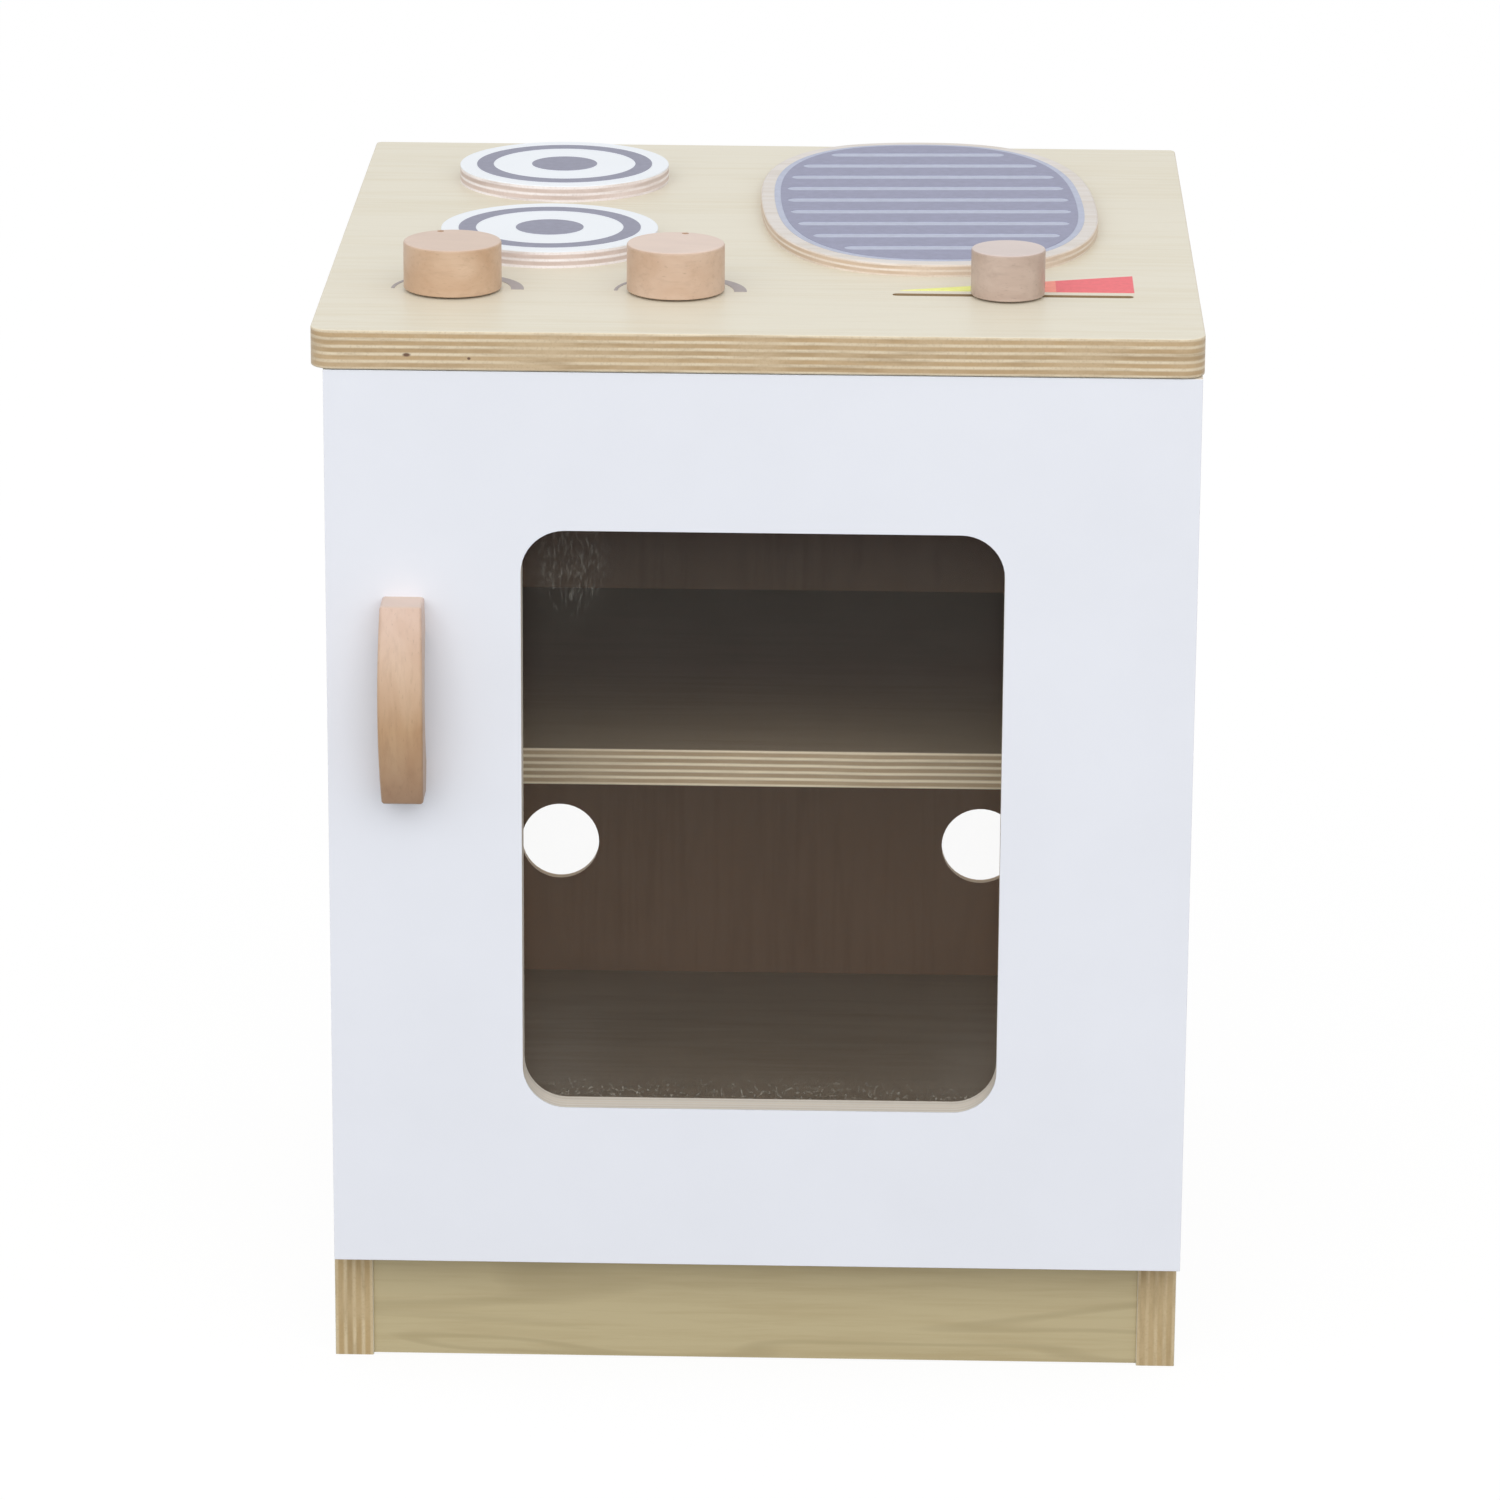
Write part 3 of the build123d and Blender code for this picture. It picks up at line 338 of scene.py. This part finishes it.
# Node, the axis across the board, the grain of its faces, and how it differs from plain ply.
BOARDS = (
    ("worktop", "Z", "X", dict(plies=WORKTOP_PLIES, figure=0.06, wear=1.15, roughness=0.40,
                               voids=VOIDS, shaded_bore_inset=10 * MM)),
    ("side_left", "X", "Z", dict(plies=SIDE_PLIES, pairs=4, wear=1.1)),
    ("side_right", "X", "Z", dict(plies=SIDE_PLIES, pairs=4, wear=1.1)),
    # the boards inside the cabinet are painted darker: painted shade
    ("floor_panel", "Z", "X", dict(face=SHADED_INTERIOR)),
    ("shelf", "Z", "X", dict(face=SHADED_INTERIOR, plies=SHELF_PLIES, wear=0.45, shade_tones=SHELF_SHADE)),
    ("plinth", "Y", "X", dict(face=PLINTH, figure=0.48)),
    ("front_rail", "Z", "X", {}),
    ("rear_rail", "Z", "X", {}),
    ("back_panel", "Y", "Z", dict(face=BACK_SHADED_FACE, pairs=1, shade_tones=BACK_SHADE,
                                  outer=BACK_OUTSIDE)),
    ("door_panel", "Y", "Z", dict(plies=DOOR_PLIES, wear=0.25)),
    ("burner_front", "Z", "X", dict(plies=BURNER_PLIES, pairs=2)),
    ("burner_rear", "Z", "X", dict(plies=BURNER_PLIES, pairs=2)),
    ("griddle_plate", "Z", "X", dict(face=GRIDDLE, plies=GRIDDLE_PLIES, pairs=2)),
)
for seed, (board, axis, grain, look) in enumerate(BOARDS, 1):
    dress(plywood(board, axis, grain, seed, **look), board)


# ---------------------------------------------------------------- beech
def beech(node, light, dark, sheen, grain, seed, shade_tones):
    """Beech under thin lacquer: drawn-out rays, fine dark flecks, a painted sheen on the ends.
    """
    s = Surface(node + "_beech", roughness=0.40, specular=0.45, coat=0.15, coat_roughness=0.3)
    offset = (seed, seed * 1.3, seed * 0.7)
    rays = s.noise(420.0, 420.0 / 8, grain, offset, detail=3.0, roughness=0.6)
    broad = s.noise(70.0, 70.0 / 2.5, grain, offset, detail=3.0, roughness=0.55, distortion=0.5)
    flecks = s.noise(1300.0, 1300.0 / 6, grain, offset)
    base = s.mix(s.spread(broad), dark, light)
    base = s.marked(base, rays, 0.50, 0.75, scaled(dark, 0.80), 0.40)
    base = s.marked(base, flecks, 0.64, 0.76, scaled(dark, 0.62), 0.40)
    # the ends, the faces that look up or down, take their own colour: a painted sheen
    ends = s.mix(s.spread(broad), scaled(sheen, 0.93), sheen)
    ends = s.marked(ends, flecks, 0.60, 0.78, scaled(sheen, 0.75), 0.25)
    level = s.range(s.math("ABSOLUTE", s.split(s.normal)["Z"]), 0.55, 0.85)
    colour = s.mix(level, base, ends)
    # painted shade along the node, where it has stops
    s.colour(s.shaded_along(colour, node, *shade_tones) if shade_tones else colour)
    s.bump(rays, 0.15, 0.3 * MM)
    return s.mat


# Light, dark and painted-sheen end colours, the grain, the painted shade if any, and the nodes.
BEECHES = (
    (linear(211, 182, 155), linear(196, 162, 132), linear(222, 198, 181), "X", None,
     "knob_left"),
    (linear(213, 187, 166), linear(200, 169, 144), linear(230, 208, 194), "X", None,
     "knob_middle"),
    (linear(200, 180, 167), linear(182, 159, 145), linear(221, 206, 200), "X", None,
     "slider_knob", "slider_guide"),
    (linear(226, 200, 184), linear(212, 180, 160), linear(220, 196, 180), "Z", HANDLE_SHADE_AND_TONE,
     "door_handle"),
)
for seed, (light, dark, sheen, grain, shade_tones, *names) in enumerate(BEECHES, 1):
    dress(beech(names[0], light, dark, sheen, grain, seed, shade_tones), *names)


# ---------------------------------------------------------------- white faces and prints
def laminate(name, colour, roughness, seed):
    """White melamine: a faint mottle in tone and gloss."""
    s = Surface(name, roughness=roughness, specular=0.35)
    mottle = s.noise(14.0, offset=(seed, seed, seed), detail=3.0, roughness=0.6)
    s.colour(s.mix(s.spread(mottle), scaled(colour, 0.975), colour))
    s.rough(s.spread(mottle, roughness - 0.04, roughness + 0.05))
    s.bump(s.noise(900.0), 0.05, 0.1 * MM)
    return s.mat


def printed(name, colour, seed):
    """Printed film: flat colour with a faint uneven ink."""
    s = Surface(name, specular=0.35)
    ink = s.noise(260.0, offset=(seed, 0, seed), detail=3.0, roughness=0.6)
    s.colour(s.mix(s.range(ink, 0.35, 0.75), scaled(colour, 0.94), scaled(colour, 1.06)))
    s.bump(ink, 0.04, 0.1 * MM)
    return s.mat


dress(laminate("door_laminate", linear(240, 243, 251), 0.38, 0), "door_front_facing",
      "door_back_facing")
dress(laminate("burner_laminate", linear(244, 249, 255), 0.30, 3), "burner_front_face",
      "burner_rear_face")
for name, colour, seed, *names in (
        ("burner_ink", linear(149, 150, 169), 0, "burner_front_print", "burner_rear_print"),
        ("scale_ink", linear(176, 168, 168), 2, "knob_left_scale", "knob_middle_scale"),
        ("griddle_border_ink", linear(188, 194, 214), 4, "griddle_border_film"),
        ("griddle_ink", linear(153, 155, 180), 5, "griddle_grill_film"),
        ("yellow_ink", linear(248, 252, 146), 0, "scale_yellow"),
        ("orange_ink", linear(255, 156, 140), 0, "scale_orange"),
        ("red_ink", linear(244, 114, 121), 0, "scale_red")):
    dress(printed(name, colour, seed), *names)


# ---------------------------------------------------------------- pane, metal and rubber
PANE_ALPHA = 0.035       # how much of the clean pane shows
SCRATCH_ALPHA = 0.16     # and how much more where it is scratched
DUST_ALPHA = 0.40        # or dusty


def acrylic(node):
    """A clear pane, scratched near its upper left corner and dusty along its foot."""
    low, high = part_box(node)
    s = Surface("acrylic", roughness=0.06, specular=0.6)
    haze = s.noise(60.0, detail=3.0, roughness=0.6)
    s.colour(s.mix(haze, linear(150, 150, 140), linear(190, 188, 178)))
    drawn_down = s.noise(760.0, 210.0, "Z", detail=3.0, roughness=0.65)
    rubbed = s.spot((low[0] + 32 * MM, high[1], high[2] - 30 * MM), (21 * MM, 50 * MM, 33 * MM))
    scratches = s.math("MULTIPLY", s.range(drawn_down, 0.54, 0.66), rubbed)
    grains = s.noise(850.0, detail=1.0)
    near_foot = s.range(s.split(s.place)["Z"], low[2] + 10 * MM, low[2] + 22 * MM, 1.0, 0.03)
    dust = s.math("MULTIPLY", s.range(grains, 0.62, 0.70), near_foot)
    marks = s.math("MAXIMUM", s.math("MULTIPLY", scratches, SCRATCH_ALPHA),
                   s.math("MULTIPLY", dust, DUST_ALPHA))
    s.put(s.inputs["Alpha"], s.math("ADD", marks, PANE_ALPHA))
    return s.mat


def metal(name, colour, roughness):
    """Plated steel, brushed from top to bottom."""
    s = Surface(name, roughness=roughness)
    s.inputs["Metallic"].default_value = 1.0
    brushed = s.noise(1200.0, 90.0, "Z")
    s.colour(s.mix(s.spread(brushed), scaled(colour, 0.88), colour))
    s.rough(s.spread(brushed, roughness - 0.06, roughness + 0.10))
    return s.mat


def rubber(name, dark, light):
    """Soft pale rubber with a fine speckle."""
    s = Surface(name, specular=0.4)
    s.colour(s.mix(s.noise(300.0), dark, light))
    return s.mat


HINGE_PARTS = [f"hinge_{level}_{part}" for level in ("lower", "upper")
               for part in ("arm", "cup", "plate", "outer_link", "inner_link")]
dress(acrylic("window_pane"), "window_pane")
dress(metal("nickel", linear(200, 198, 194), 0.28), *HINGE_PARTS, "hinge_arm_pins",
      "hinge_cup_pins", "hinge_cup_screws", "hinge_plate_screws")
dress(metal("zinc", linear(196, 192, 180), 0.34), "side_screws_left", "side_screws_right",
      "back_screws", "rail_screws", "pane_screws", "handle_screws", "knob_left_screw",
      "knob_middle_screw", "slider_screw", "knob_left_washers", "knob_middle_washers",
      "slider_washer")
dress(rubber("soft_pad", linear(214, 214, 210), linear(224, 224, 220)), "door_bumpers")


# ---------------------------------------------------------------- screw heads
WELD = 1e-6             # vertices nearer than this are one
ABOVE_HEAD = 0.3 * MM   # how far a socket's cutter stands out of the head
TURN_STEP = 0.7         # each screw of a node is turned further by this than the one before
CREASE = 0.6            # edges sharper than this aren't shaded smooth


def cross_outline(radius):
    """The outline of a cross driver's tip for a head, a quarter turn at a time."""
    arm, web = 0.56 * radius, 0.13 * radius
    points = []
    for quarter in range(4):
        turn = Matrix.Rotation(quarter * math.pi / 2, 2)
        points += [turn @ Vector(p) for p in ((arm, -web), (arm, web), (web, web))]
    return points


def hex_outline(radius):
    """The outline of a hexagon key's tip for a head."""
    reach = 0.50 * radius
    return [Vector((reach * math.cos(k * math.pi / 3), reach * math.sin(k * math.pi / 3)))
            for k in range(6)]


# A driver's outline, and how wide its socket is at the bottom, next to the top.
CROSS = cross_outline, 0.62
HEX = hex_outline, 1.0


def welded(node):
    """A CAD node's mesh, its faces joined along their edges."""
    mesh = bmesh.new()
    mesh.from_mesh(nodes[node].data)
    bmesh.ops.remove_doubles(mesh, verts=mesh.verts, dist=WELD)
    mesh.verts.index_update()
    return mesh


def shells(mesh):
    """The separate shells of a mesh, one for each screw, each as its vertices."""
    seen, found = set(), []
    for start in mesh.verts:
        if start in seen:
            continue
        seen.add(start)
        shell, fresh = [], [start]
        while fresh:
            vert = fresh.pop()
            shell.append(vert)
            for edge in vert.link_edges:
                other = edge.other_vert(vert)
                if other not in seen:
                    seen.add(other)
                    fresh.append(other)
        found.append(shell)
    return found


def add_prism(mesh, top, bottom):
    """Adds the closed shape between two outlines that have as many corners."""
    rings = [[mesh.verts.new(place) for place in outline] for outline in (top, bottom)]
    for k in range(len(top)):
        j = (k + 1) % len(top)
        mesh.faces.new((rings[0][k], rings[0][j], rings[1][j], rings[1][k]))
    mesh.faces.new(rings[0][::-1])
    mesh.faces.new(rings[1])


def socket_cutter(screws, axis, side, driver, depth):
    """A prism for each screw of a mesh, let into its head, which faces side along the axis."""
    outline, narrowing = driver
    index = "XYZ".index(axis)
    across = ((index + 1) % 3, (index + 2) % 3)
    cutter = bmesh.new()
    for count, screw in enumerate(shells(screws)):
        head = max(side * v.co[index] for v in screw)
        low = [min(v.co[k] for v in screw) for k in across]
        high = [max(v.co[k] for v in screw) for k in across]
        turn = Matrix.Rotation(TURN_STEP * count, 2)
        ends = []
        for level, scale in ((head + ABOVE_HEAD, 1.0), (head - depth, narrowing)):
            corners = []
            for point in outline((high[0] - low[0]) / 2):
                corner = Vector((0, 0, 0))
                corner[index] = side * level
                for k, l, h, offset in zip(across, low, high, turn @ (point * scale)):
                    corner[k] = (l + h) / 2 + offset
                corners.append(corner)
            ends.append(corners)
        add_prism(cutter, *ends)
    bmesh.ops.recalc_face_normals(cutter, faces=cutter.faces)
    mesh = bpy.data.meshes.new("cutter")
    cutter.to_mesh(mesh)
    cutter.free()
    return mesh


def difference(solid, cutter):
    """A mesh of the solid without what the cutter holds."""
    held = [bpy.data.objects.new(mesh.name, mesh) for mesh in (solid, cutter)]
    for obj in held:
        bpy.context.scene.collection.objects.link(obj)
    cut = held[0].modifiers.new("sockets", "BOOLEAN")
    cut.operation, cut.solver, cut.object = "DIFFERENCE", "EXACT", held[1]
    depsgraph = bpy.context.evaluated_depsgraph_get()
    mesh = bpy.data.meshes.new_from_object(held[0].evaluated_get(depsgraph))
    for obj in held:
        bpy.data.objects.remove(obj)
    return mesh


body_of = {node: body for body, names in frame["record"]["behaviour"]["bodies"].items()
           for node in names}


def socketed(node, axis, side, driver, depth):
    """Replaces a node by its own screws with a driver's socket in every head."""
    screws = welded(node)
    solid = bpy.data.meshes.new("uncut")
    solid.from_pydata([v.co for v in screws.verts], [],
                      [[v.index for v in f.verts] for f in screws.faces])
    mesh = difference(solid, socket_cutter(screws, axis, side, driver, depth))
    screws.free()
    mesh.shade_smooth()
    mesh.set_sharp_from_angle(angle=CREASE)
    mesh.materials.clear()
    mesh.materials.append(nodes[node].data.materials[0])
    piece = bpy.data.objects.new(node + "_socketed", mesh)
    bpy.context.scene.collection.objects.link(piece)
    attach(piece, body_of[node])
    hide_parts(node)


for node, axis, side, driver, depth in (
        ("side_screws_left", "X", -1, HEX, 3.0 * MM),
        ("side_screws_right", "X", 1, HEX, 3.0 * MM),
        ("back_screws", "Y", 1, CROSS, 1.4 * MM),
        ("rail_screws", "Z", -1, CROSS, 2.0 * MM),
        ("pane_screws", "Y", 1, CROSS, 1.6 * MM),
        ("handle_screws", "Y", 1, CROSS, 1.9 * MM),
        ("hinge_cup_screws", "Y", 1, CROSS, 1.5 * MM),
        ("hinge_plate_screws", "X", -1, CROSS, 1.5 * MM),
        ("knob_left_screw", "Z", -1, CROSS, 1.8 * MM),
        ("knob_middle_screw", "Z", -1, CROSS, 1.8 * MM),
        ("slider_screw", "Z", -1, CROSS, 1.8 * MM)):
    socketed(node, axis, side, driver, depth)


# ---------------------------------------------------------------- floor, light, camera
FLOOR_REACH = 30.0           # from its middle to each side
FLOOR_DROP = 0.2 * MM        # it lies this far under the boards, so as not to share their plane
FLOOR_BOUNCE = 0.34          # the floor's grey, for the light that it throws on the object
FLOOR_SEEN = 0.09            # its grey where it is seen, which keeps a shadow,
FLOOR_GLOW = 0.92            # and the glow that makes that white
# The strength of the world's light from each height of direction, level being 0 and up 1.
SKY = (0.0, 0.42), (0.30, 0.84), (0.60, 1.0), (1.0, 1.0)
FRONT_LIGHT = 0.28           # what is added to it straight from the front


def seen_straight(graph):
    """1 to the camera, through clear plastic, and in reflections before any diffuse bounce."""
    path = graph.add("ShaderNodeLightPath").outputs
    unbounced = graph.math("LESS_THAN", path["Diffuse Depth"], 0.5)
    seen = graph.math("MULTIPLY", unbounced, path["Is Glossy Ray"])
    seen = graph.math("MAXIMUM", seen, path["Is Camera Ray"])
    return graph.math("MAXIMUM", seen, path["Is Transmission Ray"])


def floor_paper():
    """White paper: as seen it glows, and as a light it is a plain grey."""
    material = bpy.data.materials.new("floor_paper")
    material.use_nodes = True
    material.node_tree.nodes.clear()
    graph = Graph(material.node_tree)
    seen = seen_straight(graph)
    grey = graph.math("MULTIPLY_ADD", seen, FLOOR_SEEN - FLOOR_BOUNCE, FLOOR_BOUNCE)
    paper = graph.add("ShaderNodeBsdfDiffuse", Color=grey)
    glow = graph.add("ShaderNodeEmission", Color=(1, 1, 1, 1),
                     Strength=graph.math("MULTIPLY", seen, FLOOR_GLOW))
    both = graph.add("ShaderNodeAddShader", paper.outputs[0], glow.outputs[0])
    graph.add("ShaderNodeOutputMaterial", Surface=both.outputs[0])
    return material


def make_floor():
    """A wide flat floor just under the object."""
    mesh = bpy.data.meshes.new("floor")
    grid = bmesh.new()
    bmesh.ops.create_grid(grid, x_segments=2, y_segments=2, size=FLOOR_REACH)
    grid.to_mesh(mesh)
    grid.free()
    mesh.materials.append(floor_paper())
    floor = bpy.data.objects.new("floor", mesh)
    bpy.context.scene.collection.objects.link(floor)
    floor.location = (0, 0, -FLOOR_DROP)
    return floor


def light_world():
    """An even pale grey as seen, and as a light brighter from above and from the front."""
    world = bpy.data.worlds.new("studio")
    bpy.context.scene.world = world
    world.use_nodes = True
    world.node_tree.nodes.clear()
    graph = Graph(world.node_tree)
    direction = graph.split(graph.add("ShaderNodeTexCoord").outputs["Generated"])
    sky = graph.add("ShaderNodeFloatCurve", Value=direction["Z"])
    curve = sky.mapping.curves[0]
    curve.points[0].location, curve.points[1].location = SKY[0], SKY[-1]
    for height, strength in SKY[1:-1]:
        curve.points.new(height, strength)
    sky.mapping.update()
    front = graph.math("MULTIPLY", direction["Y"], -FRONT_LIGHT, clamp=True)
    light = graph.math("ADD", sky.outputs[0], front)
    strength = graph.mix(seen_straight(graph), light, 1.0, kind="Float")
    background = graph.add("ShaderNodeBackground", Strength=strength)
    graph.add("ShaderNodeOutputWorld", Surface=background.outputs[0])


def lamp(name, place, target, size, watts):
    """A rectangular lamp that faces a target."""
    data = bpy.data.lights.new(name, "AREA")
    data.shape = "RECTANGLE"
    data.size, data.size_y = size
    data.energy = watts
    obj = bpy.data.objects.new(name, data)
    bpy.context.scene.collection.objects.link(obj)
    obj.location = place
    obj.rotation_euler = (Vector(target) - Vector(place)).to_track_quat("-Z", "Y").to_euler()


# The photograph's camera, as fitted to the object's edges.
PHOTO_PX = 1500
FOCAL_PX = 6804.0
SENSOR_MM = 36.0
CAMERA_PLACE = (0.063636, -3.134909, 1.218039)
YAW, PITCH, ROLL = -0.022258, 0.299832, 0.005976


def photo_camera():
    """The camera, turned to its yaw from +Y, then down by its pitch, then about its own view."""
    data = bpy.data.cameras.new("camera")
    data.sensor_width = SENSOR_MM
    data.lens = SENSOR_MM * FOCAL_PX / PHOTO_PX
    data.clip_end = 100.0
    forward = Vector((math.sin(YAW) * math.cos(PITCH), math.cos(YAW) * math.cos(PITCH),
                      -math.sin(PITCH)))
    level = Vector((math.cos(YAW), -math.sin(YAW), 0))
    upward = level.cross(forward)
    right = math.cos(ROLL) * level + math.sin(ROLL) * upward
    up = -math.sin(ROLL) * level + math.cos(ROLL) * upward
    turn = Matrix((right, up, -forward)).transposed().to_4x4()
    camera = bpy.data.objects.new("camera", data)
    bpy.context.scene.collection.objects.link(camera)
    camera.matrix_world = Matrix.Translation(CAMERA_PLACE) @ turn
    return camera


make_floor()
light_world()
lamp("front_box", place=(-0.15, -4.7, 2.9), target=(0, 0, 0.3), size=(7.5, 4.5), watts=138)
bpy.context.scene.camera = photo_camera()
bpy.context.scene.view_settings.view_transform = "Standard"

bpy.context.view_layer.update()
